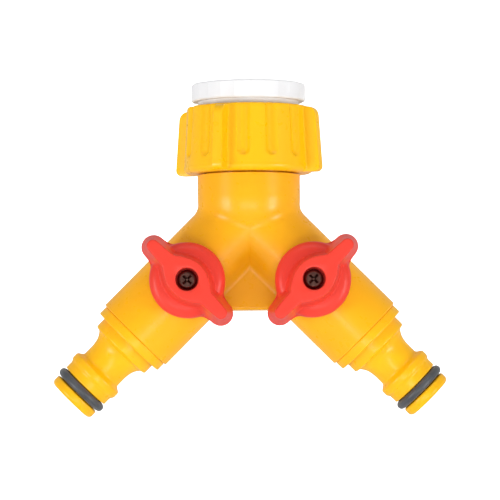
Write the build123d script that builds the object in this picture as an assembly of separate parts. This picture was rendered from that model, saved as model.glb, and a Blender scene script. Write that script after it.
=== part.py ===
from build123d import *
import os
from math import cos, radians, sin, sqrt, tan

# Two-way hose splitter for a garden tap. A captive swivel nut with a screw-in reducer takes the tap,
# a Y-shaped body divides the flow, a quarter-turn ball valve in each leg opens or shuts it, and each
# leg ends in a push-on hose spigot.
#
# Frame: origin at the centre of the reducer's mouth, +Z up towards the tap, -Y towards the valve
# knobs, legs down to -X (left) and +X (right). Millimetres and degrees.

# ---- driving dimensions: heights from the mouth ----
NUT_TOP = -7.0
NUT_BOTTOM = -27.0
NECK_TOP = -27.5
FORK_Z = -40.8  # where the axes of the neck and both legs meet
WEB_BOTTOM = -68.0

# ---- driving dimensions: body ----
NECK_R = 15.4
DOME_Z = -34.5  # centre of the rounding that closes the neck
NECK_BLEND_R = 4.5
LEG_ANGLE = 45.0
LEG_R = 12.75
LEG_START = -5.0  # the leg starts inside the neck
LEG_END = 48.6  # measured from the fork along the leg, as are all places on a leg
WEB_HALF = 8.5
WEB_BLEND_R = 3.5
WATERWAY_R = 8.0
LEG_WATERWAY_R = 6.0
LEG_BORE_R = 9.6
SOCKET_GAP = 0.02
SEAM_CHAMFER = 0.3
EDGE_R = 0.8

# ---- driving dimensions: threads (pipe threads of 55 degrees) ----
FLANK = tan(radians(27.5))
NUT_PITCH = 2.309  # G1
NUT_ROOT_R = 16.75
NUT_CREST_R = 15.35
MALE_CREST_R = 16.45
MALE_ROOT_R = 15.1
TAP_PITCH = 1.814  # G3/4
TAP_CREST_R = 12.1
TAP_ROOT_R = 13.3
CREST_WIDTH = 0.45
TAP_CREST_WIDTH = 0.4
NUT_THREAD_START = -17.6
MALE_THREAD_START = NUT_THREAD_START + NUT_PITCH / 2
TAP_THREAD_START = -8.7
EMBED = 0.15  # how far a thread reaches into the wall that it stands on

# ---- driving dimensions: nut ----
NUT_R_TOP = 18.4
NUT_R_BOTTOM = 19.5
NUT_EDGE_R = 1.7
NUT_TOP_EDGE_R = 0.6
WING_R_TOP = 22.2
WING_R_BOTTOM = 23.8
WING_THICKNESS = 2.9
WING_DROP = 0.5
WING_TOP_CORNER = 2.6
WING_BOTTOM_CORNER = 1.8
WING_EDGE_R = 0.6
WING_BLEND_R = 0.9
FIRST_WING = -24.5
FLUTE_SPACING = 25.7
FLUTE_R = 2.2
FLUTE_DEPTH = 0.9
FLUTE_END = -20.7
LIP_THICKNESS = 2.9
LIP_BORE_R = 13.15

# ---- driving dimensions: tailpiece, washers and reducer ----
COLLAR_TOP = -20.8
COLLAR_BOTTOM = -23.8
COLLAR_R = 14.7
TAIL_R = 12.9
TAIL_END = -37.5
TAIL_SNAP_Z = -36.0
TAIL_SEAL_Z = -32.0
WASHER_THICKNESS = 2.4
FLANGE_R = 17.15
FLANGE_THICKNESS = 5.4
FLANGE_FLATS = 12
FIRST_FLAT = 8.0
FLAT_CURVE_R = 14.0
FLAT_DEPTH = 0.3
FLANGE_EDGE_R = 0.7
MOUTH_DEPTH = 0.8
MOUTH_GROW = 1.7
UNDERCUT = 0.6
TAP_THREAD_DEPTH = 11.0
SMALL_WASHER_R = 12.0
SMALL_WASHER_THICKNESS = 2.0
SMALL_WASHER_TOP = -12.6

# ---- driving dimensions: valve, measured from the leg's axis towards the knob ----
VALVE_AT = 26.2
BALL_R = 8.0
BALL_BORE_R = 4.6
SEAT_GAP = 0.06
SEAT_INNER = 5.0
SEAT_OUTER = 8.8
SEAT_BORE_R = 4.8
SLOT_LOW = 5.4
SLOT_WIDTH = 3.1
SLOT_LENGTH = 8.0
TONGUE_LOW = 5.5
TONGUE_WIDTH = 2.9
TONGUE_LENGTH = 7.0
TONGUE_HEIGHT = 4.0
STEM_FOOT = 8.6
STEM_R = 4.0
STEM_FIT = 0.05
STEM_GROOVE_R = 2.5
STEM_GROOVE_LOW = 10.1
STEM_GROOVE_HIGH = 12.0
STEM_RING_CENTRE_R = 3.28
STEM_RING_SECTION_R = 0.74
UPPER_STEM_R = 3.0
SHOULDER_R = 5.0
SHOULDER_LOW = 12.7
SHOULDER_HIGH = 13.5
BUSH_R = 5.15
BUSH_LIFT = 0.1
BOSS_R = 7.2
BOSS_TOP = 15.0
SQUARE = 4.2
SQUARE_SOCKET = 4.3
SQUARE_TOP = 18.9
LUG_HEIGHT = 1.6
STOP_ANGLE = 45.0
STOP_HALF = 9.0
RIB_HALF = 7.0
STOP_SLACK = 0.6

# ---- driving dimensions: knob and screw ----
KNOB_LOW = 13.3
DISC_R = 11.2
DISC_RIM = 16.0
DISC_TOP = 18.8
DISC_TOP_R = 7.0
KNOB_WALL = 1.9
KNOB_TOP = 25.4
GRIP_REACH = 15.9
GRIP_TIP_R = 1.7
GRIP_ROOT_HALF = 2.4
LOBE_HALF = 5.7
LOBE_ARC_R = 8.0
LOBE_BLEND_R = 6.0
KNOB_DRAFT = 8.0
EAR_LOW = 14.6
EAR_BLEND_R = 4.0
EAR_INSET = 0.3
SCREW_WELL_R = 3.35
SCREW_SEAT = 19.4
SCREW_HEAD_R = 2.85
SCREW_HEAD_HEIGHT = 2.0
SCREW_CORE_R = 1.1
SCREW_CREST_R = 1.5
SCREW_PITCH = 1.1
SCREW_END = 10.4
SCREW_HEAD_EDGE_R = 0.9
SCREW_CREST_WIDTH = 0.1
SCREW_TURNS = 6
RECESS_SPAN = 3.4
RECESS_WIDTH = 0.75
RECESS_DEPTH = 1.5
PILOT_R = SCREW_CREST_R + 0.05

# ---- driving dimensions: spigot, measured from the fork along the leg ----
SPIGOT_BORE_R = 4.8
COLLAR_ONE_R = 12.15
COLLAR_ONE_END = 51.5
COLLAR_TWO_R = 10.05
COLLAR_TWO_END = 54.9
COLLAR_TWO_SLOPE_R = 0.5
COLLAR_TWO_SLOPE = 0.6
WAIST_R = 6.9
WAIST_CURVE_R = 7.35
WAIST_CURVE_AT = 56.9
WAIST_START = 59.2
WAIST_END = 63.2
RIDGE_R = 8.63
RIDGE_START = 64.6
RIDGE_END = 66.3
SHOULDER_LAND_R = 7.95
SHOULDER_LAND_START = 67.2
GROOVE_START = 69.9
GROOVE_END = 73.1
GROOVE_R = 6.05
SPIGOT_TIP = 76.1
TIP_R = 7.85
TIP_ROUNDING = 1.3
RING_SECTION_R = 1.31
RING_CENTRE_R = 7.38
PLUG_R = 9.5
PLUG_SEAL_AT = 40.0
PLUG_SNAP_AT = 45.0
SEAL_SECTION_R = 0.85
SEAL_GAP = 0.01
SEAL_GROOVE = 1.75
SEAL_GROOVE_HALF = 1.1
SNAP_HEIGHT = 0.35
SNAP_HALF = 0.9
SNAP_EMBED = 0.2

FROM_BASE = (Align.CENTER, Align.CENTER, Align.MIN)
SECTOR_FROM_BASE = (Align.NONE, Align.NONE, Align.MIN)
HALF_SPACE = 200.0


# ---- helpers ----
def disc(radius, low, high):
    """A cylinder about Z from low to high."""
    return Pos(0, 0, low) * Cylinder(radius, high - low, align=FROM_BASE)


def tube(outer, inner, low, high):
    """A ring about Z from low to high, open through its bore."""
    return disc(outer, low, high) - disc(inner, low - 1, high + 1)


def turned(*segments):
    """A solid of revolution about Z from lines and arcs in (radius, height) that close on themselves."""
    return revolve(Plane.XZ * make_face(Curve() + list(segments)), Axis.Z)


def profile(points):
    """A solid of revolution about Z from (radius, height) points, closed with straight edges."""
    return turned(*Polyline(*points, close=True).edges())


def ring(centre_r, section_r, height):
    """An O-ring about Z."""
    return Pos(0, 0, height) * Torus(centre_r, section_r)


def thread(wall_r, crest_r, pitch, turns, start, crest_width=CREST_WIDTH):
    """A right-hand helical ridge from a wall to its crest. Its middle is at height start at angle 0."""
    outward = 1 if crest_r > wall_r else -1
    root_r = wall_r - outward * EMBED
    half_root = crest_width / 2 + abs(crest_r - root_r) * FLANK
    corners = [
        (root_r, 0, -half_root),
        (crest_r, 0, -crest_width / 2),
        (crest_r, 0, crest_width / 2),
        (root_r, 0, half_root),
    ]
    section = make_face(Polyline(*corners, close=True))
    path = Helix(pitch=pitch, height=pitch * turns, radius=root_r)
    return Pos(0, 0, start) * sweep(section, path=path, is_frenet=True)


def leg_frame(side):
    """At the fork, Z out along a leg and Y towards the knob. side is -1 for left and 1 for right."""
    along = (side * sin(radians(LEG_ANGLE)), 0, -cos(radians(LEG_ANGLE)))
    across = (cos(radians(LEG_ANGLE)), 0, side * sin(radians(LEG_ANGLE)))
    return Plane(origin=(0, 0, FORK_Z), x_dir=across, z_dir=along)


def valve_frame(side):
    """At a valve's centre, Z out of the front through the knob and X out along the leg."""
    x, z = side * sin(radians(LEG_ANGLE)), -cos(radians(LEG_ANGLE))
    centre = (x * VALVE_AT, 0, FORK_Z + z * VALVE_AT)
    return Plane(origin=centre, x_dir=(x, 0, z), z_dir=(0, -1, 0))


# ---- body ----
def body_half():
    """The outside of the left half, cut at the plane X = 0, with its blends."""
    neck = disc(NECK_R, DOME_Z, NECK_TOP) + Pos(0, 0, DOME_Z) * Sphere(NECK_R)
    neck -= disc(NECK_R + 1, NECK_TOP, NECK_TOP + NECK_R)
    leg_outline = [
        (0, LEG_START),
        (LEG_R, LEG_START),
        (LEG_R, LEG_END - SEAM_CHAMFER),
        (LEG_R - SEAM_CHAMFER, LEG_END),
        (0, LEG_END),
    ]
    leg = leg_frame(-1) * profile(leg_outline)
    reach = FORK_Z - WEB_BOTTOM
    web_top = FORK_Z - reach / 3
    outline = [(0, 0, web_top), (0, 0, WEB_BOTTOM), (-reach, 0, WEB_BOTTOM), (-reach / 3, 0, web_top)]
    web = extrude(make_face(Polyline(*outline, close=True)), WEB_HALF, dir=(0, 1, 0), both=True)
    left = Pos(-HALF_SPACE / 2, 0, -50) * Box(HALF_SPACE, HALF_SPACE, HALF_SPACE)
    shell = (neck + leg) & left
    seams = [e for e in shell.edges() if is_neck_seam(e)]
    shell = fillet(seams, NECK_BLEND_R)
    joined = shell + (web & left)
    seams = [e for e in joined.edges() if is_web_seam(e)]
    joined = fillet(seams, WEB_BLEND_R)
    hems = [e for e in joined.edges() if is_web_hem(e)]
    return fillet(hems, EDGE_R)


def is_web_hem(edge):
    """A level lower edge of the web's front or back face."""
    middle = edge @ 0.5
    return abs(middle.Z - WEB_BOTTOM) < 0.01 and abs(abs(middle.Y) - WEB_HALF) < 0.05


def is_neck_seam(edge):
    """An edge where the neck's rounding meets the leg, clear of the cut plane."""
    middle = edge @ 0.5
    on_cut = abs(middle.X) < 0.01
    return not on_cut and -50 < middle.Z < NECK_TOP - 0.5 and edge.geom_type != GeomType.CIRCLE


def is_web_seam(edge):
    """A straight edge where a face of the web meets the leg."""
    middle = edge @ 0.5
    run = edge % 0.5
    slanted = edge.geom_type == GeomType.LINE and abs(run.X) > 0.3
    along_leg = abs(abs(run.X) - abs(run.Z)) < 0.05
    return slanted and along_leg and abs(abs(middle.Y) - WEB_HALF) < 0.05


def stop_lug():
    """The post on a boss that limits the knob to a quarter turn."""
    post = tube(BOSS_R - 0.3, SHOULDER_R + 0.5, BOSS_TOP - 0.5, BOSS_TOP + LUG_HEIGHT)
    wedge = Rot(0, 0, STOP_ANGLE - STOP_HALF) * Pos(0, 0, BOSS_TOP - 1) * Cylinder(
        BOSS_R, 4, arc_size=2 * STOP_HALF, align=SECTOR_FROM_BASE
    )
    return post & wedge


def snap_ridge(radius, height):
    """A rounded ridge about Z that clicks into a groove of the same shape."""
    low = height - SNAP_HALF
    high = height + SNAP_HALF
    inside = radius - SNAP_EMBED
    crest = (radius + SNAP_HEIGHT, height)
    return profile([(inside, low), (radius, low), crest, (radius, high), (inside, high)])


def seal_groove(radius, height):
    """The ring cut from a plug for its O-ring."""
    return tube(radius + 2, radius - SEAL_GROOVE, height - SEAL_GROOVE_HALF, height + SEAL_GROOVE_HALF)


def y_body():
    """The moulded Y with its two valve bosses, its sockets and its waterways."""
    half = body_half()
    outside = half + mirror(half, Plane.YZ)
    for side in (-1, 1):
        boss = disc(BOSS_R, LEG_R - 3, BOSS_TOP)
        outside += valve_frame(side) * (boss + stop_lug())
    socket = disc(TAIL_R + SOCKET_GAP, TAIL_END - 0.3, NECK_TOP + 1)
    socket += snap_ridge(TAIL_R + SOCKET_GAP, TAIL_SNAP_Z)
    chamber = disc(WATERWAY_R, FORK_Z, TAIL_END) + Pos(0, 0, FORK_Z) * Sphere(WATERWAY_R)
    hollow = outside - socket - chamber
    for side in (-1, 1):
        bore = disc(LEG_WATERWAY_R, 0, VALVE_AT)
        bore += disc(LEG_BORE_R, VALVE_AT - SEAT_OUTER, LEG_END + 1)
        bore += snap_ridge(LEG_BORE_R, PLUG_SNAP_AT)
        hollow -= leg_frame(side) * bore
        stem_hole = disc(STEM_R + STEM_FIT, 4, BOSS_TOP)
        stem_hole += disc(BUSH_R, SHOULDER_LOW - 0.1, BOSS_TOP + 0.01)
        hollow -= valve_frame(side) * stem_hole
    return hollow


# ---- inlet ----
def inlet_tailpiece():
    """The flanged tube that the nut turns on, pressed into the neck."""
    body = disc(COLLAR_R, COLLAR_BOTTOM, COLLAR_TOP) + disc(TAIL_R, TAIL_END, COLLAR_TOP)
    body += snap_ridge(TAIL_R, TAIL_SNAP_Z)
    body -= seal_groove(TAIL_R, TAIL_SEAL_Z)
    return body - disc(WATERWAY_R, TAIL_END - 1, 0)


def tailpiece_seal():
    """The O-ring round the tailpiece."""
    return ring(TAIL_R - SEAL_SECTION_R - SEAL_GAP, SEAL_SECTION_R, TAIL_SEAL_Z)


def inlet_washer():
    """The flat washer between the tailpiece and the reducer."""
    return tube(COLLAR_R, WATERWAY_R, COLLAR_TOP, COLLAR_TOP + WASHER_THICKNESS)


def nut_radius(height):
    """The nut's outside radius before its flutes."""
    share = (NUT_TOP - height) / (NUT_TOP - NUT_BOTTOM)
    return NUT_R_TOP + share * (NUT_R_BOTTOM - NUT_R_TOP)


def wing():
    """One grip wing, standing out along X."""
    top = NUT_TOP - WING_DROP
    root = NUT_CREST_R + 2
    outline = [
        (root, 0, top),
        (WING_R_TOP, 0, top),
        (WING_R_BOTTOM, 0, NUT_BOTTOM),
        (root, 0, NUT_BOTTOM),
    ]
    blade = extrude(make_face(Polyline(*outline, close=True)), WING_THICKNESS / 2, dir=(0, 1, 0), both=True)
    outer = [e for e in blade.edges().filter_by(Axis.Y) if (e @ 0.5).X > NUT_R_BOTTOM]
    blade = fillet([e for e in outer if (e @ 0.5).Z > -15], WING_TOP_CORNER)
    outer = [e for e in blade.edges().filter_by(Axis.Y) if (e @ 0.5).X > NUT_R_BOTTOM + 1]
    blade = fillet([e for e in outer if (e @ 0.5).Z < NUT_BOTTOM + 0.1], WING_BOTTOM_CORNER)
    outer = [e for e in blade.edges() if (e @ 0.5).X > NUT_R_BOTTOM]
    rim = [e for e in outer if abs(abs((e @ 0.5).Y) - WING_THICKNESS / 2) < 0.01]
    return fillet(rim, WING_EDGE_R)


def flute():
    """The cutter for one grip flute, on the side of +X, round at its lower end."""
    lean = (NUT_R_BOTTOM - NUT_R_TOP) / (NUT_TOP - NUT_BOTTOM)
    out = nut_radius(FLUTE_END) - FLUTE_DEPTH + FLUTE_R
    foot = Vector(out, 0, FLUTE_END)
    head = Vector(out - lean * (NUT_TOP + 3 - FLUTE_END), 0, NUT_TOP + 3)
    along = head - foot
    axis = Plane(origin=foot, x_dir=(0, 1, 0), z_dir=along)
    return axis * disc(FLUTE_R, 0, along.length) + Pos(foot) * Sphere(FLUTE_R)


def swivel_nut():
    """The winged nut, with its inside thread and the lip that the tailpiece's collar rests on."""
    core = profile([(0, NUT_TOP), (NUT_R_TOP, NUT_TOP), (NUT_R_BOTTOM, NUT_BOTTOM), (0, NUT_BOTTOM)])
    rims = core.edges().filter_by(GeomType.CIRCLE)
    core = fillet(rims.sort_by(Axis.Z)[0], NUT_EDGE_R)
    core = fillet(core.edges().filter_by(GeomType.CIRCLE).sort_by(Axis.Z)[-1], NUT_TOP_EDGE_R)
    for quarter in range(4):
        core += Rot(0, 0, FIRST_WING + 90 * quarter) * wing()
    seams = [e for e in core.edges() if is_wing_seam(e)]
    core = fillet(seams, WING_BLEND_R)
    for quarter in range(4):
        for place in (-1, 0, 1):
            core -= Rot(0, 0, FIRST_WING + 45 + 90 * quarter + FLUTE_SPACING * place) * flute()
    core -= disc(NUT_ROOT_R, NUT_BOTTOM + LIP_THICKNESS, 0)
    core -= disc(LIP_BORE_R, NUT_BOTTOM - 1, 0)
    return core + thread(NUT_ROOT_R, NUT_CREST_R, NUT_PITCH, 4, NUT_THREAD_START)


def is_wing_seam(edge):
    """A long upright edge where a wing meets the core."""
    middle = edge @ 0.5
    return sqrt(middle.X**2 + middle.Y**2) < NUT_R_BOTTOM + 0.2 and edge.length > 12


def thread_reducer():
    """The screw-in sleeve that steps the nut's thread down to the smaller tap thread."""
    bottom = COLLAR_TOP + WASHER_THICKNESS
    body = disc(FLANGE_R, -FLANGE_THICKNESS, 0)
    for k in range(FLANGE_FLATS):
        scoop = Pos(FLANGE_R + FLAT_CURVE_R - FLAT_DEPTH, 0) * disc(FLAT_CURVE_R, -FLANGE_THICKNESS - 1, 1)
        body -= Rot(0, 0, 360 / FLANGE_FLATS * k + FIRST_FLAT) * scoop
    body = fillet([e for e in body.edges() if (e @ 0.5).Z > -0.01], FLANGE_EDGE_R)
    low = [e for e in body.edges() if abs((e @ 0.5).Z + FLANGE_THICKNESS) < 0.01]
    body = fillet(low, FLANGE_EDGE_R)
    body += disc(MALE_ROOT_R, bottom, -1)
    body += thread(MALE_ROOT_R, MALE_CREST_R, NUT_PITCH, 3.5, MALE_THREAD_START)
    body -= disc(TAP_CREST_R, -TAP_THREAD_DEPTH, 1)
    mouth = [(0, 1), (TAP_CREST_R + MOUTH_GROW, 1), (TAP_CREST_R - 0.1, -MOUTH_DEPTH), (0, -MOUTH_DEPTH)]
    body -= profile(mouth)
    body -= thread(TAP_CREST_R, TAP_ROOT_R, TAP_PITCH, 3.5, TAP_THREAD_START, TAP_CREST_WIDTH)
    floor = SMALL_WASHER_TOP - SMALL_WASHER_THICKNESS
    body -= disc(TAP_CREST_R + UNDERCUT, floor, -TAP_THREAD_DEPTH)
    return body - disc(WATERWAY_R, bottom - 1, 0)


def reducer_washer():
    """The flat washer that the tap seals on, at the bottom of the smaller thread."""
    return tube(SMALL_WASHER_R, WATERWAY_R, SMALL_WASHER_TOP - SMALL_WASHER_THICKNESS, SMALL_WASHER_TOP)


# ---- valve, in a valve's frame or a leg's ----
def ball_seat(flip):
    """A soft ring with a round face that bears on the ball. flip is -1 upstream and 1 downstream."""
    blank = tube(LEG_BORE_R - 0.02, SEAT_BORE_R, SEAT_INNER, SEAT_OUTER)
    seat = blank - Sphere(BALL_R + SEAT_GAP)
    if flip < 0:
        seat = Rot(180, 0, 0) * seat
    return Pos(0, 0, VALVE_AT) * seat


def valve_ball():
    """The ball, bored along Y so that the valve stands shut, with a slot for the stem's tongue."""
    ball = Sphere(BALL_R) - Rot(90, 0, 0) * Cylinder(BALL_BORE_R, 3 * BALL_R)
    slot = Pos(0, 0, SLOT_LOW) * Box(SLOT_WIDTH, SLOT_LENGTH, BALL_R, align=FROM_BASE)
    return ball - slot


def valve_stem():
    """The stem: a tongue in the ball, a grooved shank, a shoulder under the bush and a square."""
    blank = Box(TONGUE_WIDTH, TONGUE_LENGTH, TONGUE_HEIGHT, align=FROM_BASE)
    tongue = Pos(0, 0, TONGUE_LOW) * blank & disc(STEM_R, TONGUE_LOW - 1, TONGUE_LOW + TONGUE_HEIGHT)
    body = tongue + disc(STEM_R, STEM_FOOT, SHOULDER_LOW)
    body += disc(SHOULDER_R, SHOULDER_LOW, SHOULDER_HIGH)
    body -= tube(STEM_R + 1, STEM_GROOVE_R, STEM_GROOVE_LOW, STEM_GROOVE_HIGH)
    body += disc(UPPER_STEM_R, SHOULDER_HIGH, BOSS_TOP + 0.3)
    body += Pos(0, 0, BOSS_TOP) * Box(SQUARE, SQUARE, SQUARE_TOP - BOSS_TOP, align=FROM_BASE)
    return body - disc(PILOT_R, SCREW_END - 0.4, SQUARE_TOP + 1)


def stem_o_ring():
    """The O-ring in the stem's groove."""
    return ring(STEM_RING_CENTRE_R, STEM_RING_SECTION_R, (STEM_GROOVE_LOW + STEM_GROOVE_HIGH) / 2)


def stem_bush():
    """The ring that keeps the stem in its boss."""
    return tube(BUSH_R, UPPER_STEM_R + STEM_FIT, SHOULDER_HIGH + BUSH_LIFT, BOSS_TOP)


def grip_outline():
    """The knob's top face: a wide lobe with a tapering grip each way along Y."""
    off = LOBE_ARC_R - LOBE_HALF
    lobe = Pos(off, 0) * Circle(LOBE_ARC_R) & Pos(-off, 0) * Circle(LOBE_ARC_R)
    outline = lobe + grips(GRIP_ROOT_HALF, GRIP_TIP_R, GRIP_REACH)
    corners = [v for v in outline.vertices() if 4 < abs(v.Y) < GRIP_REACH - 3]
    return fillet(corners, LOBE_BLEND_R)


def grips(root_half, tip_r, reach):
    """Two tapering arms with round ends, along Y."""
    end = reach - tip_r
    blade = make_face(Polyline((-root_half, 0), (root_half, 0), (tip_r, end), (-tip_r, end), close=True))
    arm = blade + Pos(0, end) * Circle(tip_r)
    return arm + Rot(0, 0, 180) * arm


def valve_knob():
    """The quarter-turn knob: a hollow disc with a raised grip, a screw well and two stop ribs."""
    height = KNOB_TOP - EAR_LOW
    grow = height * tan(radians(KNOB_DRAFT))
    grip = extrude(Pos(0, 0, KNOB_TOP) * grip_outline(), -height, taper=-KNOB_DRAFT)
    inset = grow - EAR_INSET
    foot = Circle(DISC_R - 0.1) + grips(GRIP_ROOT_HALF + inset, GRIP_TIP_R + inset, GRIP_REACH + inset)
    corners = [v for v in foot.vertices() if sqrt(v.X**2 + v.Y**2) < DISC_R + 0.5]
    foot = fillet(corners, EAR_BLEND_R)
    foot = extrude(Pos(0, 0, EAR_LOW) * foot, DISC_RIM - EAR_LOW)
    side = [(DISC_R, DISC_RIM), (DISC_R, KNOB_LOW), (0, KNOB_LOW)]
    rim = Polyline(*side, (0, DISC_TOP), (DISC_TOP_R, DISC_TOP))
    shoulder = ThreePointArc((DISC_TOP_R, DISC_TOP), (DISC_R - 1.0, DISC_TOP - 0.95), (DISC_R, DISC_RIM))
    knob = turned(*rim.edges(), shoulder) + grip + foot
    knob -= tube(DISC_R - KNOB_WALL, SHOULDER_R, KNOB_LOW - 1, DISC_TOP - KNOB_WALL)
    knob -= disc(DISC_R - KNOB_WALL, KNOB_LOW - 1, BOSS_TOP + 0.3)
    for sign in (-1, 1):
        place = sign * (STOP_ANGLE + STOP_HALF + RIB_HALF + STOP_SLACK)
        knob += Rot(0, 0, place - RIB_HALF) * stop_rib()
    knob -= disc(SCREW_WELL_R, SCREW_SEAT, KNOB_TOP + 1)
    socket = Box(SQUARE_SOCKET, SQUARE_SOCKET, SQUARE_TOP - BOSS_TOP + 1.1, align=FROM_BASE)
    knob -= Pos(0, 0, BOSS_TOP - 1) * socket
    return knob - disc(PILOT_R, BOSS_TOP, SCREW_SEAT + 1)


def stop_rib():
    """A rib under the knob's disc, from angle 0 up, that meets the body's stop lug."""
    low = BOSS_TOP + 0.4
    sector = Pos(0, 0, low) * Cylinder(
        DISC_R - 1.5, DISC_TOP - 1.5 - low, arc_size=2 * RIB_HALF, align=SECTOR_FROM_BASE
    )
    return sector - disc(SHOULDER_R - 0.5, low - 1, DISC_TOP)


def knob_screw():
    """A pan-head screw with a cross recess that tapers to its point."""
    top = SCREW_SEAT + SCREW_HEAD_HEIGHT
    head = disc(SCREW_HEAD_R, SCREW_SEAT, top)
    head = fillet(head.edges().sort_by(Axis.Z)[-1], SCREW_HEAD_EDGE_R)
    shank = disc(SCREW_CORE_R, SCREW_END, SCREW_SEAT + 0.5)
    shank += thread(
        SCREW_CORE_R, SCREW_CREST_R, SCREW_PITCH, SCREW_TURNS, SCREW_END + 1, SCREW_CREST_WIDTH
    )
    cross = Box(RECESS_SPAN, RECESS_WIDTH, 3) + Box(RECESS_WIDTH, RECESS_SPAN, 3)
    point = Pos(0, 0, top - RECESS_DEPTH) * Cone(0.35, 1.9, RECESS_DEPTH + 0.1, align=FROM_BASE)
    return head + shank - (Pos(0, 0, top - 0.5) * cross & point)


# ---- outlet, in a leg's frame ----
def outlet_spigot():
    """The outlet: a plug in the leg, two collars, a waist, a hose ridge and an O-ring groove."""
    inner = VALVE_AT + SEAT_OUTER
    collars = Polyline(
        (SPIGOT_BORE_R, inner),
        (PLUG_R, inner),
        (PLUG_R, LEG_END),
        (COLLAR_ONE_R - SEAM_CHAMFER, LEG_END),
        (COLLAR_ONE_R, LEG_END + SEAM_CHAMFER),
        (COLLAR_ONE_R, COLLAR_ONE_END - SEAM_CHAMFER),
        (COLLAR_ONE_R - SEAM_CHAMFER, COLLAR_ONE_END),
        (COLLAR_TWO_R, COLLAR_ONE_END),
        (COLLAR_TWO_R, COLLAR_TWO_END - COLLAR_TWO_SLOPE),
        (COLLAR_TWO_R - COLLAR_TWO_SLOPE_R, COLLAR_TWO_END),
    )
    waist = ThreePointArc(collars @ 1, (WAIST_CURVE_R, WAIST_CURVE_AT), (WAIST_R, WAIST_START))
    snout = Polyline(
        (WAIST_R, WAIST_START),
        (WAIST_R, WAIST_END),
        (RIDGE_R, RIDGE_START),
        (RIDGE_R, RIDGE_END),
        (SHOULDER_LAND_R, SHOULDER_LAND_START),
        (SHOULDER_LAND_R, GROOVE_START),
        (GROOVE_R, GROOVE_START),
        (GROOVE_R, GROOVE_END),
        (TIP_R, GROOVE_END),
        (TIP_R, SPIGOT_TIP),
        (SPIGOT_BORE_R, SPIGOT_TIP),
        (SPIGOT_BORE_R, inner),
    )
    body = turned(*collars.edges(), waist, *snout.edges())
    tip = [e for e in body.edges().filter_by(GeomType.CIRCLE) if is_tip_rim(e)]
    body = fillet(tip, TIP_ROUNDING)
    body += snap_ridge(PLUG_R, PLUG_SNAP_AT)
    return body - seal_groove(PLUG_R, PLUG_SEAL_AT)


def is_tip_rim(edge):
    """The outer edge of the spigot's free end."""
    return abs((edge @ 0).Z - SPIGOT_TIP) < 0.01 and edge.radius > SPIGOT_BORE_R + 1


def spigot_seal():
    """The O-ring round the spigot's plug."""
    return ring(LEG_BORE_R - SEAL_SECTION_R - SEAL_GAP, SEAL_SECTION_R, PLUG_SEAL_AT)


def outlet_o_ring():
    """The O-ring that a hose connector seals on."""
    return ring(RING_CENTRE_R, RING_SECTION_R, (GROOVE_START + GROOVE_END) / 2)


# ---- assembly ----
INLET_PARTS = {
    "y_body": y_body,
    "inlet_tailpiece": inlet_tailpiece,
    "tailpiece_seal": tailpiece_seal,
    "inlet_washer": inlet_washer,
    "swivel_nut": swivel_nut,
    "thread_reducer": thread_reducer,
    "reducer_washer": reducer_washer,
}
VALVE_PARTS = {
    "valve_ball": valve_ball(),
    "valve_stem": valve_stem(),
    "stem_o_ring": stem_o_ring(),
    "stem_bush": stem_bush(),
    "valve_knob": valve_knob(),
    "knob_screw": knob_screw(),
}
LEG_PARTS = {
    "upstream_seat": ball_seat(-1),
    "downstream_seat": ball_seat(1),
    "outlet_spigot": outlet_spigot(),
    "spigot_seal": spigot_seal(),
    "outlet_o_ring": outlet_o_ring(),
}

os.makedirs("parts", exist_ok=True)
for name, make in INLET_PARTS.items():
    export_step(make(), f"parts/{name}.step")
for side, word in ((-1, "left"), (1, "right")):
    for name, shape in VALVE_PARTS.items():
        export_step(valve_frame(side) * shape, f"parts/{word}_{name}.step")
    for name, shape in LEG_PARTS.items():
        export_step(leg_frame(side) * shape, f"parts/{word}_{name}.step")
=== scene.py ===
import math

import bpy
from mathutils import Matrix, Vector


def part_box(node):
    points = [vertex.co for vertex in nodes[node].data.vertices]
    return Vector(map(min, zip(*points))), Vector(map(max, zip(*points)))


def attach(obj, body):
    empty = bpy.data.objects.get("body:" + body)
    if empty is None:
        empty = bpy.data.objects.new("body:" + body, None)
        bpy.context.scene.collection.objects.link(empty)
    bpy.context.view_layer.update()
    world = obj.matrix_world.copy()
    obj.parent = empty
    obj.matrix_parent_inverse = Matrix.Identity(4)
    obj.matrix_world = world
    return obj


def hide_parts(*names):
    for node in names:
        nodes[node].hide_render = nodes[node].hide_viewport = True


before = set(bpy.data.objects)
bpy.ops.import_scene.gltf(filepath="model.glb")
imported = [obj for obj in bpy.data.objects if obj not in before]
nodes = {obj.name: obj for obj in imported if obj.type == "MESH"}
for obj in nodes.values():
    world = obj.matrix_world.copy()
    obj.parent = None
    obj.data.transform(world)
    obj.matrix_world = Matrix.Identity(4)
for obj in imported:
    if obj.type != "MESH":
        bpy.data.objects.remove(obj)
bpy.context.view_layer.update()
MM = 0.001  # in metres; the sizes of the pieces below are in millimetres


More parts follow.
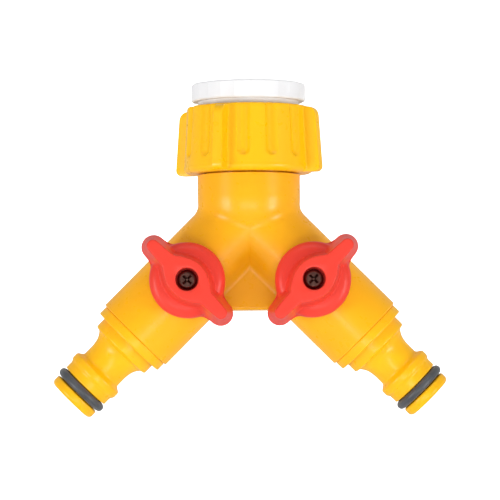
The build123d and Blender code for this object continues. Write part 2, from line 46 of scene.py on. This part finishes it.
# ---- materials ----
class Nodes:
    """A small helper that adds and links shader nodes."""

    def __init__(self, name):
        self.material = bpy.data.materials.new(name)
        self.material.use_nodes = True
        self.tree = self.material.node_tree
        self.shader = self.tree.nodes["Principled BSDF"]
        self.place = self.add("ShaderNodeTexCoord").outputs["Object"]

    def add(self, kind, **settings):
        node = self.tree.nodes.new(kind)
        for key, value in settings.items():
            setattr(node, key, value)
        return node

    def link(self, source, target):
        self.tree.links.new(source, target)

    def set(self, **sockets):
        for key, value in sockets.items():
            self.shader.inputs[key.replace("_", " ")].default_value = value

    def noise(self, scale, detail=3.0, roughness=0.5):
        """Noise of about 1 / scale metres across."""
        node = self.add("ShaderNodeTexNoise")
        node.inputs["Scale"].default_value = scale
        node.inputs["Detail"].default_value = detail
        node.inputs["Roughness"].default_value = roughness
        self.link(self.place, node.inputs["Vector"])
        return node.outputs["Fac"]

    def spread(self, source, low, high):
        """Maps noise, which mostly lies between 0.3 and 0.7, to low..high."""
        node = self.add("ShaderNodeMapRange")
        values = {"From Min": 0.3, "From Max": 0.7, "To Min": low, "To Max": high}
        for key, value in values.items():
            node.inputs[key].default_value = value
        self.link(source, node.inputs["Value"])
        return node.outputs["Result"]

    def ramp(self, source, *stops):
        """Colours along source: each stop is (position, colour)."""
        node = self.add("ShaderNodeValToRGB")
        band = node.color_ramp
        while len(band.elements) < len(stops):
            band.elements.new(0.5)
        for element, (position, colour) in zip(band.elements, stops):
            element.position, element.color = position, (*colour, 1.0)
        self.link(source, node.inputs["Fac"])
        return node.outputs["Color"]

    def bump(self, source, strength, distance, under=None):
        """Height from source, up to distance in metres, laid over another bump if one is given."""
        node = self.add("ShaderNodeBump")
        node.inputs["Strength"].default_value = strength
        node.inputs["Distance"].default_value = distance
        self.link(source, node.inputs["Height"])
        if under:
            self.link(under, node.inputs["Normal"])
        return node.outputs["Normal"]


def moulded(name, light, dark, roughness, coat=0.0, grain=0.06):
    """Injection-moulded plastic: faint flow marks in the colour, uneven gloss and a fine skin."""
    m = Nodes(name)
    flow = m.noise(45.0, 4.0, 0.55)
    m.link(m.ramp(flow, (0.25, dark), (0.75, light)), m.shader.inputs["Base Color"])
    gloss = m.noise(420.0, 3.0)
    m.link(m.spread(gloss, roughness - 0.04, roughness + 0.05), m.shader.inputs["Roughness"])
    skin = m.bump(m.noise(2600.0, 2.0), grain, 0.00008)
    waves = m.bump(m.noise(110.0, 2.0), 0.12, 0.0004, skin)
    m.link(waves, m.shader.inputs["Normal"])
    m.set(Coat_Weight=coat, Coat_Roughness=0.12, Specular_IOR_Level=0.32)
    return m


def yellow_plastic(name, shift=0.0):
    light = (0.985, 0.475 + shift, 0.003)
    dark = (0.97, 0.445 + shift, 0.002)
    return moulded(name, light, dark, 0.3, coat=0.05).material


def red_plastic(name):
    m = moulded(name, (0.84, 0.055, 0.034), (0.80, 0.047, 0.028), 0.36, coat=0.05, grain=0.1)
    m.set(Specular_IOR_Level=0.22)
    return m.material


def white_plastic(name):
    return moulded(name, (0.86, 0.86, 0.87), (0.82, 0.82, 0.835), 0.45, grain=0.1).material


def rubber(name, light, dark, roughness):
    m = Nodes(name)
    m.link(m.ramp(m.noise(260.0, 5.0), (0.3, dark), (0.7, light)), m.shader.inputs["Base Color"])
    m.link(m.spread(m.noise(900.0), roughness - 0.06, roughness + 0.08), m.shader.inputs["Roughness"])
    m.link(m.bump(m.noise(3500.0, 3.0), 0.15, 0.00006), m.shader.inputs["Normal"])
    m.set(Sheen_Weight=0.15, Sheen_Roughness=0.5)
    return m.material


def steel(name):
    m = Nodes(name)
    dark, light = (0.07, 0.035, 0.028), (0.19, 0.10, 0.08)
    m.link(m.ramp(m.noise(700.0, 5.0), (0.3, dark), (0.7, light)), m.shader.inputs["Base Color"])
    m.link(m.spread(m.noise(1500.0), 0.28, 0.5), m.shader.inputs["Roughness"])
    m.link(m.bump(m.noise(2200.0, 4.0), 0.2, 0.00006), m.shader.inputs["Normal"])
    m.set(Metallic=1.0)
    return m.material


SLOTS = {
    "body_plastic": yellow_plastic("body_yellow"),
    # Painted light: the swivel nut's copy of the yellow has extra green, so it reads brighter and
    # yellower, as if more strongly lit than the body.
    "nut_plastic": yellow_plastic("nut_yellow_painted_light", 0.065),
    "spigot_plastic": yellow_plastic("spigot_yellow", 0.035),
    "reducer_plastic": white_plastic("reducer_white"),
    "knob_plastic": red_plastic("knob_red"),
    "seal_rubber": rubber("seal_black", (0.035, 0.036, 0.038), (0.02, 0.02, 0.022), 0.55),
    "o_ring_rubber": rubber("o_ring_grey", (0.075, 0.08, 0.088), (0.05, 0.055, 0.062), 0.4),
    "washer_rubber": rubber("washer_black", (0.04, 0.04, 0.042), (0.02, 0.02, 0.022), 0.7),
    "seat_plastic": white_plastic("seat_white"),
    "ball_plastic": white_plastic("ball_white"),
    "stem_plastic": rubber("stem_black", (0.04, 0.04, 0.042), (0.025, 0.025, 0.027), 0.35),
    "screw_steel": steel("screw_steel"),
}

for piece in nodes.values():
    slot = piece.data.materials[0].name.split(".")[0]
    for index in range(len(piece.material_slots)):
        piece.material_slots[index].material = SLOTS[slot]


# ---- pieces: surfaces swept round an axis ----
SHARP_ANGLE = math.radians(38)  # where two faces meet at more than this, the edge is sharp
CORNER_STEPS = 5


def grid_mesh(name, rows):
    """A closed mesh from rows of points: each row is a loop, and the last row joins the first."""
    points = [p for row in rows for p in row]
    count, around = len(rows), len(rows[0])
    faces = []
    for i in range(count):
        j = (i + 1) % count
        for k in range(around):
            n = (k + 1) % around
            faces.append((i * around + k, i * around + n, j * around + n, j * around + k))
    mesh = bpy.data.meshes.new(name)
    mesh.from_pydata(points, [], faces)
    mesh.polygons.foreach_set("use_smooth", [True] * len(faces))
    mesh.update()
    mesh.set_sharp_from_angle(angle=SHARP_ANGLE)
    piece = bpy.data.objects.new(name, mesh)
    bpy.context.scene.collection.objects.link(piece)
    return piece


def finish_piece(piece, body, slot, *stands_for):
    piece.data.materials.append(SLOTS[slot])
    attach(piece, body)
    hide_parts(*stands_for)


def smooth_step(low, high, value):
    """0 up to low, 1 from high on, and an even rise between them."""
    share = min(1.0, max(0.0, (value - low) / (high - low)))
    return share * share * (3 - 2 * share)


def smooth_max(a, b, width):
    """The larger of a and b, with a rounded valley of that width between them."""
    share = min(1.0, max(0.0, 0.5 + 0.5 * (a - b) / width))
    return b + (a - b) * share + width * share * (1 - share)


def rounded(outline):
    """A closed curve of (radius, distance) points from (radius, distance, rounding) corners.

    The curve leaves a corner's edges at that rounding from it, or nearer where an edge is short.
    """
    points = [Vector((radius, distance)) for radius, distance, _ in outline]
    out = []
    for i, corner in enumerate(points):
        before = points[i - 1]
        after = points[(i + 1) % len(points)]
        reach = min(outline[i][2], 0.45 * (before - corner).length, 0.45 * (after - corner).length)
        start = corner + (before - corner).normalized() * reach
        end = corner + (after - corner).normalized() * reach
        for k in range(CORNER_STEPS + 1):
            t = k / CORNER_STEPS
            out.append((1 - t) ** 2 * start + 2 * t * (1 - t) * corner + t * t * end)
    return out


def divided(profile, step):
    """The profile with extra points so that no edge is longer than step."""
    out = []
    for i, point in enumerate(profile):
        after = profile[(i + 1) % len(profile)]
        count = max(1, math.ceil((after - point).length / step))
        out += [point.lerp(after, k / count) for k in range(count)]
    return out


# ---- the swivel nut ----
NUT_LOW, NUT_HIGH = (corner.z / MM for corner in map(Vector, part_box("swivel_nut")))
NUT_R_TOP, NUT_R_BOTTOM = 18.4, 19.5
WING_R_TOP, WING_R_BOTTOM = 22.2, 23.65
WING_DROP, WING_HALF, WING_SIDE = 0.5, 1.45, 0.35
WING_TOP_CORNER, WING_BOTTOM_CORNER = 2.6, 1.8
FIRST_WING, FLUTE_SPACING = -24.5, 25.7  # degrees
FLUTE_R, FLUTE_DEPTH, FLUTE_END = 2.2, 1.1, NUT_LOW + 6.3
NUT_EDGE_R, NUT_TOP_EDGE_R = 1.7, 0.6
FLUTE_BLEND = 0.22
WING_SPAN = 15.0  # degrees each side of a wing where it may stand out
WING_ROUND = 0.3
FILLET_HEIGHT, FILLET_WIDTH = 0.5, 1.1  # where a wing meets the core
WALL_STEPS, THREAD_STEP = 60, 0.19
COARSE_TURN, FINE_TURN = 0.75, 0.35  # degrees between points round the nut
WING_SIDES = (3.0, 6.5)  # degrees from a wing's middle, where its sides fall to the core
FLAT_MID_R, LIP_EDGE, MOUTH_CHAMFER = 15.5, 0.3, 0.5
BORE_R, CREST_R, LIP_R, LIP_THICKNESS = 16.75, 15.35, 13.15, 2.9
PITCH, THREAD_START, THREAD_TURNS = 2.309, -17.6, 4
THREAD_FADE = 12  # each end of the thread rises over a twelfth of a turn
CREST_HALF, FLANK = 0.22, math.tan(math.radians(27.5))


def wing_radius(height):
    """The outer radius of a wing at a height, with its two rounded corners."""
    top = NUT_HIGH - WING_DROP
    share = (top - height) / (top - NUT_LOW)
    radius = WING_R_TOP + share * (WING_R_BOTTOM - WING_R_TOP)
    if height > top:
        return 0.0
    over = height - (top - WING_TOP_CORNER)
    if over > 0:
        radius -= WING_TOP_CORNER - math.sqrt(max(0.0, WING_TOP_CORNER**2 - over**2))
    under = NUT_LOW + WING_BOTTOM_CORNER - height
    if under > 0:
        radius -= WING_BOTTOM_CORNER - math.sqrt(max(0.0, WING_BOTTOM_CORNER**2 - under**2))
    return radius


def nearest_turn(angle, centres):
    """The signed difference in degrees to the nearest of the centres."""
    return min(((angle - c + 180) % 360 - 180 for c in centres), key=abs)


WINGS = [FIRST_WING + 90 * q for q in range(4)]
FLUTES = [w + 45 + FLUTE_SPACING * k for w in WINGS for k in (-1, 0, 1)]


def nut_outside(core, height, angle):
    """The nut's radius at a height and angle: the core less a flute, or a wing."""
    across = core * math.sin(math.radians(nearest_turn(angle, FLUTES)))
    below = min(0.0, height - FLUTE_END)
    away = across**2 + below**2
    scoop = FLUTE_DEPTH - FLUTE_R + math.sqrt(max(0.0, FLUTE_R**2 - away))
    radius = core - smooth_max(scoop, 0.0, FLUTE_BLEND)
    off = nearest_turn(angle, WINGS)
    if abs(off) < WING_SPAN:
        side = abs(core * math.sin(math.radians(off)))
        tall = wing_radius(height) - radius
        if tall > 0:
            body = 1 - smooth_step(WING_HALF - WING_ROUND, WING_HALF + WING_SIDE, side)
            root = FILLET_HEIGHT * max(0.0, 1 - max(0.0, side - WING_HALF) / FILLET_WIDTH) ** 2
            radius += max(tall * body, min(tall, root))
    return radius


def nut_thread(height, angle):
    """How far the internal thread stands out from the bore."""
    place = (height - THREAD_START) / PITCH - angle / 360
    turn = round(place)
    share = turn + angle / 360
    if not 0 <= share <= THREAD_TURNS:
        return 0.0
    fade = min(1.0, THREAD_FADE * min(share, THREAD_TURNS - share))
    tall = BORE_R - CREST_R
    away = abs(place - turn) * PITCH
    return fade * min(tall, max(0.0, (CREST_HALF + tall * FLANK - away) / FLANK))


def nut_angles():
    """Angles round the nut, closer together at the sides of each wing."""
    start = FIRST_WING + 45
    near, far = WING_SIDES
    out, angle = [], start
    while angle < start + 360 - 0.05:
        out.append(angle)
        off = abs(nearest_turn(angle, WINGS))
        angle += FINE_TURN if near < off < far else COARSE_TURN
    return out


def make_nut():
    """The nut's whole skin: outside from the top down, under the lip, and up the threaded bore."""
    edge, low, high = NUT_EDGE_R, NUT_LOW, NUT_HIGH
    top_edge = NUT_TOP_EDGE_R
    taper = (NUT_R_BOTTOM - NUT_R_TOP) / (high - low)
    walls = []
    for k in range(5):
        a = math.radians(90 * k / 4)
        radius = NUT_R_TOP - top_edge + top_edge * math.sin(a)
        walls.append((radius, high - top_edge + top_edge * math.cos(a), "out"))
    for k in range(1, WALL_STEPS):
        z = high - top_edge - (high - low - top_edge - edge) * k / WALL_STEPS
        walls.append((NUT_R_TOP + taper * (high - z), z, "out"))
    for k in range(9):
        a = math.radians(90 * k / 8)
        radius = NUT_R_BOTTOM - edge + edge * math.cos(a)
        walls.append((radius, low + edge - edge * math.sin(a), "out"))
    lip_top = low + LIP_THICKNESS
    walls += [(FLAT_MID_R, low, "flat"), (LIP_R + LIP_EDGE, low, "flat")]
    walls += [(LIP_R, low + LIP_EDGE, "flat"), (LIP_R, lip_top, "flat"), (BORE_R, lip_top, "flat")]
    depth = high - top_edge - low - LIP_THICKNESS
    count = round(depth / THREAD_STEP)
    walls += [(BORE_R, lip_top + depth * k / count, "in") for k in range(1, count + 1)]
    walls.append((BORE_R + MOUTH_CHAMFER, high, "flat"))
    rows = []
    angles = nut_angles()
    for radius, height, kind in walls:
        row = []
        for angle in angles:
            r = radius
            if kind == "out":
                r = nut_outside(radius, height, angle)
            elif kind == "in":
                r = radius - nut_thread(height, angle % 360)
            a = math.radians(angle)
            row.append((r * math.cos(a) * MM, r * math.sin(a) * MM, height * MM))
        rows.append(row)
    finish_piece(grid_mesh("nut_skin", rows), "nut", "nut_plastic", "swivel_nut")


# ---- places on the legs ----
FORK = Vector((0.0, 0.0, -40.8))  # where the axes of the neck and both legs meet


def leg_axes(side):
    """Unit vectors at the fork: across the leg, towards the back, and out along the leg."""
    s = math.sqrt(0.5)
    return Vector((s, 0.0, side * s)), Vector((0.0, 1.0, 0.0)), Vector((side * s, 0.0, -s))


# ---- the outlet spigots ----
SPIGOT_INNER, SPIGOT_TIP = 35.0, 76.1
LEG_END = 48.6
SPIGOT_STEP, SPIGOT_AROUND = 1.2, 144
SPIGOT_BORE_R, PLUG_R = 4.8, 9.5
COLLAR_R, COLLAR_END = 12.15, 51.5
SHOULDER_R, SHOULDER_END = 10.05, 54.9
WAIST_R, WAIST_START, WAIST_END = 6.9, 59.2, 63.3
RIDGE_R, RIDGE_START, RIDGE_END = 8.63, 64.5, 66.5
LAND_R, LAND_START = 7.95, 67.3
GROOVE_R, GROOVE_START, GROOVE_END = 6.05, 69.9, 73.1
TIP_R, TIP_CORNER = 7.85, 0.8


def spigot_outline():
    """(radius, distance along the leg, rounding), from the bore's inner end round the outside."""
    plug = [(SPIGOT_BORE_R, SPIGOT_INNER, 0.2), (PLUG_R, SPIGOT_INNER, 0.3), (PLUG_R, LEG_END, 0.0)]
    collar = [(COLLAR_R - 0.2, LEG_END, 0.3), (COLLAR_R, LEG_END + 0.25, 0.3)]
    collar += [(COLLAR_R, COLLAR_END, 0.45), (SHOULDER_R, COLLAR_END, 0.25)]
    shoulder = [(SHOULDER_R, SHOULDER_END, 0.6), (8.6, SHOULDER_END + 0.25, 0.5)]
    waist = [(7.4, 56.9, 1.6), (WAIST_R, WAIST_START, 1.6), (WAIST_R, WAIST_END, 0.5)]
    ridge = [(RIDGE_R, RIDGE_START, 0.5), (RIDGE_R, RIDGE_END, 0.5), (LAND_R, LAND_START, 0.5)]
    groove = [(LAND_R, GROOVE_START, 0.3), (GROOVE_R, GROOVE_START, 0.3), (GROOVE_R, GROOVE_END, 0.3)]
    tip = [(TIP_R, GROOVE_END, 0.7), (TIP_R, SPIGOT_TIP - TIP_CORNER, 0.5)]
    tip += [(TIP_R - TIP_CORNER, SPIGOT_TIP, 0.5)]
    mouth = [(SPIGOT_BORE_R + 0.3, SPIGOT_TIP, 0.3), (SPIGOT_BORE_R, SPIGOT_TIP - 0.4, 0.3)]
    return plug + collar + shoulder + waist + ridge + groove + tip + mouth


def make_spigot(side, word):
    across, back, along = leg_axes(side)
    rows = []
    for point in divided(rounded(spigot_outline()), SPIGOT_STEP):
        row = []
        for k in range(SPIGOT_AROUND):
            a = 2 * math.pi * k / SPIGOT_AROUND
            outward = across * math.cos(a) + back * math.sin(a)
            spot = FORK + along * point.y + outward * point.x
            row.append(tuple(spot * MM))
        rows.append(row)
    piece = grid_mesh(f"{word}_spigot_skin", rows)
    finish_piece(piece, "body", "spigot_plastic", f"{word}_outlet_spigot")


# ---- the knobs ----
VALVE_AT = 26.2  # from the fork to a valve, along the leg
WELL_R, WELL_FLOOR = 3.35, 19.4
KNOB_TOP, KNOB_LOW, EAR_LOW = 25.4, 13.3, 14.6
DISC_R, DISC_RIM, DISC_TOP, DISC_TOP_R = 11.2, 16.0, 18.8, 7.0
LOBE_ARC_R, LOBE_HALF = 8.0, 5.7
ARM_ROOT, ARM_TIP, ARM_REACH = 2.9, 1.8, 15.7
EAR_SPREAD = 0.35  # how much further the foot of a grip stands out than its draft takes it
DRAFT_ANGLE = 8.0
DRAFT = math.tan(math.radians(DRAFT_ANGLE))
KNOB_EDGE, WELL_EDGE = 0.45, 0.3
UNDERSIDE_R, UNDERSIDE_TOP = 9.3, 16.9
SOCKET_R, SOCKET_LOW = 5.0, 15.3
SCREW_HOLE_R = 1.6
LOBE_BLEND, FOOT_BLEND, WALL_BLEND, RIM_BLEND = 3.4, 3.4, 2.6, 1.0
FOOT_BLEND_END = 14.0  # radius from which a grip's foot no longer blends into the disc
DISC_FALL, DISC_POWER = 2.5, 2.4  # how steeply the shoulder falls past its rim, and how square it is
RIM_DROP = 0.8
LIFT_START, LIFT_END = DISC_R + 0.1, DISC_R + 1.2  # where the underside rises from disc to ears
RIM_INSET, EAR_INSET = 0.998, 0.97
KNOB_AROUND, GRIP_STEPS = 420, 200
TOP_ROWS, EDGE_ROWS, WALL_ROWS, FOOT_ROWS = 5, 5, 18, 12


def grip_half_width(v):
    """Half the width of the knob's top face at a distance v from its middle along the arms."""
    v = abs(v)
    end = ARM_REACH - ARM_TIP
    arm = ARM_ROOT + (ARM_TIP - ARM_ROOT) * v / end
    if v > end:
        arm = math.sqrt(max(0.0, ARM_TIP**2 - (v - end) ** 2))
    lobe = math.sqrt(max(0.0, LOBE_ARC_R**2 - v * v)) - (LOBE_ARC_R - LOBE_HALF)
    return smooth_max(arm, lobe, LOBE_BLEND) if v < end else arm


def grip_outline(count):
    """Points round the knob's top face, evenly spaced, with their outward normals."""
    end = ARM_REACH - ARM_TIP
    reaches = [end * k / GRIP_STEPS for k in range(GRIP_STEPS + 1)]
    quarter = [(grip_half_width(v), v) for v in reaches]
    for degrees in range(3, 91, 3):
        a = math.radians(degrees)
        quarter.append((ARM_TIP * math.cos(a), end + ARM_TIP * math.sin(a)))
    half = quarter + [(-x, y) for x, y in reversed(quarter[:-1])]
    loop = [Vector(p) for p in half] + [Vector((-x, -y)) for x, y in half[1:-1]]
    lengths = [0.0]
    for k, point in enumerate(loop):
        lengths.append(lengths[-1] + (loop[(k + 1) % len(loop)] - point).length)
    spots, at = [], 0
    for k in range(count):
        want = lengths[-1] * k / count
        while lengths[at + 1] < want:
            at += 1
        share = (want - lengths[at]) / (lengths[at + 1] - lengths[at])
        spots.append(loop[at].lerp(loop[(at + 1) % len(loop)], share))
    normals = []
    for k in range(count):
        tangent = spots[(k + 2) % count] - spots[k - 2]
        normals.append(Vector((tangent.y, -tangent.x)).normalized())
    return spots, normals


def disc_height(radius):
    """The height of the knob's round shoulder at a radius."""
    if radius <= DISC_TOP_R:
        return DISC_TOP
    if radius >= DISC_R:
        return DISC_RIM - DISC_FALL * (radius - DISC_R)
    share = (radius - DISC_TOP_R) / (DISC_R - DISC_TOP_R)
    return DISC_RIM + (DISC_TOP - DISC_RIM) * math.sqrt(max(0.0, 1 - share**DISC_POWER))


def knob_rows():
    """Rows of (x, y, height) in the valve's frame: from the screw well over the grip to the underside."""
    spots, normals = grip_outline(KNOB_AROUND)
    foot = [p + n * ((KNOB_TOP - EAR_LOW) * DRAFT + EAR_SPREAD) for p, n in zip(spots, normals)]
    rim = []
    for point in foot:
        reach = point.length
        if reach < FOOT_BLEND_END:
            reach = smooth_max(reach, DISC_R, FOOT_BLEND)
        rim.append(point.normalized() * reach)

    def ring(radius, height):
        return [(*(p.normalized() * radius), height) for p in foot]

    rows = [
        ring(WELL_R, WELL_FLOOR),
        ring(WELL_R, KNOB_TOP - WELL_EDGE),
        ring(WELL_R + 0.3 * WELL_EDGE, KNOB_TOP - 0.3 * WELL_EDGE),
        ring(WELL_R + WELL_EDGE, KNOB_TOP),
    ]
    inner = [p - n * KNOB_EDGE for p, n in zip(spots, normals)]
    start = [p.normalized() * (WELL_R + WELL_EDGE) for p in foot]
    for k in range(1, TOP_ROWS + 1):
        rows.append([(*a.lerp(b, k / TOP_ROWS), KNOB_TOP) for a, b in zip(start, inner)])
    for k in range(1, EDGE_ROWS + 1):
        a = math.radians((90 - DRAFT_ANGLE) * k / EDGE_ROWS)
        shift, drop = -KNOB_EDGE + KNOB_EDGE * math.sin(a), KNOB_EDGE * (1 - math.cos(a))
        rows.append([(*(p + n * shift), KNOB_TOP - drop) for p, n in zip(spots, normals)])
    wall = KNOB_TOP - KNOB_EDGE
    for k in range(1, WALL_ROWS + 1):
        share = k / WALL_ROWS
        row = []
        for p, n in zip(spots, normals):
            spot = p + n * ((wall - EAR_LOW) * DRAFT * share + EAR_SPREAD * share**2)
            height = wall - (wall - EAR_LOW) * share
            row.append((*spot, smooth_max(height, disc_height(spot.length), WALL_BLEND)))
        rows.append(row)
    for k in range(1, FOOT_ROWS + 1):
        row = []
        for a, b in zip(foot, rim):
            spot = a.lerp(b, math.sin(math.radians(90 * k / FOOT_ROWS)))
            row.append((*spot, smooth_max(EAR_LOW - RIM_DROP, disc_height(spot.length), RIM_BLEND)))
        rows.append(row)
    lift = EAR_LOW - KNOB_LOW
    low = [KNOB_LOW + lift * smooth_step(LIFT_START, LIFT_END, p.length) for p in rim]
    rows.append([(*(p * RIM_INSET), z) for p, z in zip(rim, low)])
    inside = DISC_R - 0.2
    rows.append([(*(p.normalized() * min(p.length * EAR_INSET, inside)), z) for p, z in zip(rim, low)])
    rows += [
        ring(inside, KNOB_LOW),
        ring(UNDERSIDE_R, KNOB_LOW),
        ring(UNDERSIDE_R, UNDERSIDE_TOP),
        ring(SOCKET_R, UNDERSIDE_TOP),
        ring(SOCKET_R, SOCKET_LOW),
        ring(SCREW_HOLE_R, SOCKET_LOW),
        ring(SCREW_HOLE_R, WELL_FLOOR),
    ]
    return rows


def make_knob(side, word):
    _, _, along = leg_axes(side)
    front = Vector((0.0, -1.0, 0.0))
    bar = front.cross(along)
    centre = FORK + along * VALVE_AT
    rows = []
    for row in knob_rows():
        spots = [centre + along * x + bar * y + front * h for x, y, h in row]
        rows.append([tuple(spot * MM) for spot in spots])
    piece = grid_mesh(f"{word}_knob_skin", rows)
    finish_piece(piece, f"{word}_valve", "knob_plastic", f"{word}_valve_knob")


make_nut()
for side, word in ((-1, "left"), (1, "right")):
    make_spigot(side, word)
    make_knob(side, word)


# ---- camera ----
SENSOR = 36.0
SHOT_WIDTH = 150.15 * MM  # how wide a stretch the camera sees at its target
SHOT_DISTANCE = 0.8  # in metres
SHOT_TARGET = Vector((0.22 * MM, 0.0, -49.87 * MM))
SHOT_AZIMUTH, SHOT_ELEVATION, SHOT_ROLL = -0.76, -2.42, -0.41  # degrees


def make_camera():
    data = bpy.data.cameras.new("camera")
    camera = bpy.data.objects.new("camera", data)
    bpy.context.scene.collection.objects.link(camera)
    data.sensor_width = SENSOR
    data.lens = SENSOR * SHOT_DISTANCE / SHOT_WIDTH
    data.clip_start, data.clip_end = 0.01, 20.0
    azimuth, elevation = math.radians(SHOT_AZIMUTH), math.radians(SHOT_ELEVATION)
    level = Vector((math.sin(azimuth), -math.cos(azimuth), 0.0)) * math.cos(elevation)
    back = level + Vector((0.0, 0.0, math.sin(elevation)))
    camera.location = SHOT_TARGET + back * SHOT_DISTANCE
    roll = Matrix.Rotation(math.radians(SHOT_ROLL), 3, "Z")
    turn = (-back).to_track_quat("-Z", "Y").to_matrix() @ roll
    camera.rotation_mode = "QUATERNION"
    camera.rotation_quaternion = turn.to_quaternion()
    bpy.context.scene.camera = camera


# ---- studio, in metres ----
WORLD_STRENGTH = 0.43
SOFTBOX_POWER = 12.0
TOP_POWER = 5.0
LOW_POWER = 7.0
FLOOR_Z = -0.75
BACKDROP_GLOW = 1.1
LIGHT_AIM = Vector((0.0, 0.0, -0.05))


def area_light(name, place, size, power):
    data = bpy.data.lights.new(name, "AREA")
    data.shape = "RECTANGLE"
    data.size, data.size_y = size
    data.energy = power
    light = bpy.data.objects.new(name, data)
    light.location = place
    light.rotation_euler = (Vector(place) - LIGHT_AIM).to_track_quat("Z", "Y").to_euler()
    bpy.context.scene.collection.objects.link(light)


def plain(name, colour, glow=0.0):
    """A matt studio surface with a faint unevenness."""
    m = Nodes(name)
    low = tuple(0.98 * c for c in colour)
    m.link(m.ramp(m.noise(4.0, 2.0), (0.3, low), (0.7, colour)), m.shader.inputs["Base Color"])
    m.set(Roughness=0.9, Emission_Color=(*colour, 1.0), Emission_Strength=glow)
    return m.material


def stage_plane(name, size, place, turn, material):
    """A studio surface that the object's gloss does not mirror."""
    bpy.ops.mesh.primitive_plane_add(size=1.0, location=place, rotation=turn)
    plane = bpy.context.object
    plane.name = name
    plane.scale = (*size, 1.0)
    plane.data.materials.append(material)
    plane.visible_glossy = False


def make_studio():
    world = bpy.data.worlds.new("studio")
    world.use_nodes = True
    world.node_tree.nodes["Background"].inputs["Color"].default_value = (1.0, 1.0, 1.0, 1.0)
    world.node_tree.nodes["Background"].inputs["Strength"].default_value = WORLD_STRENGTH
    bpy.context.scene.world = world
    flat = (0.0, 0.0, 0.0)
    stage_plane("floor", (7.0, 7.0), (0.0, 0.0, FLOOR_Z), flat, plain("floor_pale", (0.9, 0.9, 0.9)))
    upright = (math.radians(90), 0.0, 0.0)
    white = plain("backdrop_white", (1.0, 1.0, 1.0), BACKDROP_GLOW)
    stage_plane("backdrop", (7.0, 5.0), (0.0, 2.6, 1.5), upright, white)
    for side in (-1, 1):
        area_light(f"softbox_{side}", (side * 1.4, -1.0, -0.42), (0.5, 0.75), SOFTBOX_POWER)
    area_light("top", (0.0, -0.9, 1.5), (1.2, 0.7), TOP_POWER)
    area_light("low_front", (0.0, -1.7, -0.6), (1.2, 0.4), LOW_POWER)


make_camera()
make_studio()
bpy.context.scene.view_settings.view_transform = "Standard"
